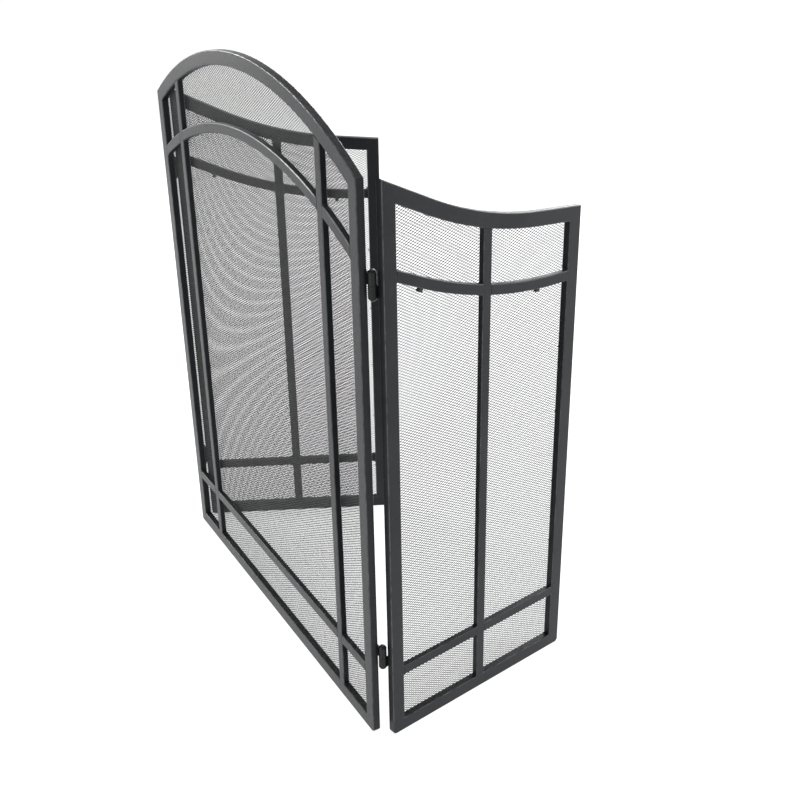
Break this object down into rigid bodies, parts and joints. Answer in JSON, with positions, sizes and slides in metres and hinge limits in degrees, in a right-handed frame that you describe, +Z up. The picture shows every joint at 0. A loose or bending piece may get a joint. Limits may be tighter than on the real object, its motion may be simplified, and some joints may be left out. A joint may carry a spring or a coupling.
{
  "type": "folding fireplace screen",
  "caption": "Free-standing folding fireplace screen with an arched centre panel, swept side panels, expanded-metal mesh and barrel hinges.",
  "frame": {"origin": "on the floor under the middle of the centre panel's bottom rail, at the middle of its depth", "axes": "+Z up, +X to the right as the room sees the screen, -Y towards the room, so the side panels fold towards +Y"},
  "size_m": [0.6534, 0.3149, 0.79],
  "materials": {
    "frame": "satin charcoal powder coat",
    "mesh": "fine black painted expanded-metal mesh",
    "hinge": "satin black paint over welded steel",
    "lugs": "satin black paint"
  },
  "bodies": {
    "centre_panel": {"centre_arch_rail": "frame", "centre_bottom_rail": "frame", "centre_inner_arch_left": "frame", "centre_inner_arch_middle": "frame", "centre_inner_arch_right": "frame", "centre_left_bar": "frame", "centre_left_stile": "frame", "centre_lower_rail_left": "frame", "centre_lower_rail_middle": "frame", "centre_lower_rail_right": "frame", "centre_mesh": "mesh", "centre_right_bar": "frame", "centre_right_stile": "frame", "left_lower_hinge_centre_knuckle": "hinge", "left_lower_hinge_pin": "hinge", "left_upper_hinge_centre_knuckle": "hinge", "left_upper_hinge_pin": "hinge", "right_lower_hinge_centre_knuckle": "hinge", "right_lower_hinge_pin": "hinge", "right_upper_hinge_centre_knuckle": "hinge", "right_upper_hinge_pin": "hinge"},
    "left_panel": {"left_bar": "frame", "left_bottom_rail": "frame", "left_hinge_stile": "frame", "left_lower_hinge_side_knuckle": "hinge", "left_lower_rail_far": "frame", "left_lower_rail_near": "frame", "left_mesh": "mesh", "left_mesh_lugs": "lugs", "left_outer_stile": "frame", "left_second_rail_far": "frame", "left_second_rail_near": "frame", "left_top_rail": "frame", "left_upper_hinge_side_knuckle": "hinge"},
    "right_panel": {"right_bar": "frame", "right_bottom_rail": "frame", "right_hinge_stile": "frame", "right_lower_hinge_side_knuckle": "hinge", "right_lower_rail_far": "frame", "right_lower_rail_near": "frame", "right_mesh": "mesh", "right_mesh_lugs": "lugs", "right_outer_stile": "frame", "right_second_rail_far": "frame", "right_second_rail_near": "frame", "right_top_rail": "frame", "right_upper_hinge_side_knuckle": "hinge"}
  },
  "joints": [
    {"name": "left_hinge", "type": "hinge", "parent": "centre_panel", "child": "left_panel", "pos_m": [-0.315, 0.009, 0], "axis": [0, 0, -1], "range_deg": [-145, 65]},
    {"name": "right_hinge", "type": "hinge", "parent": "centre_panel", "child": "right_panel", "pos_m": [0.315, 0.009, 0], "axis": [0, 0, 1], "range_deg": [-131, 79]}
  ]
}
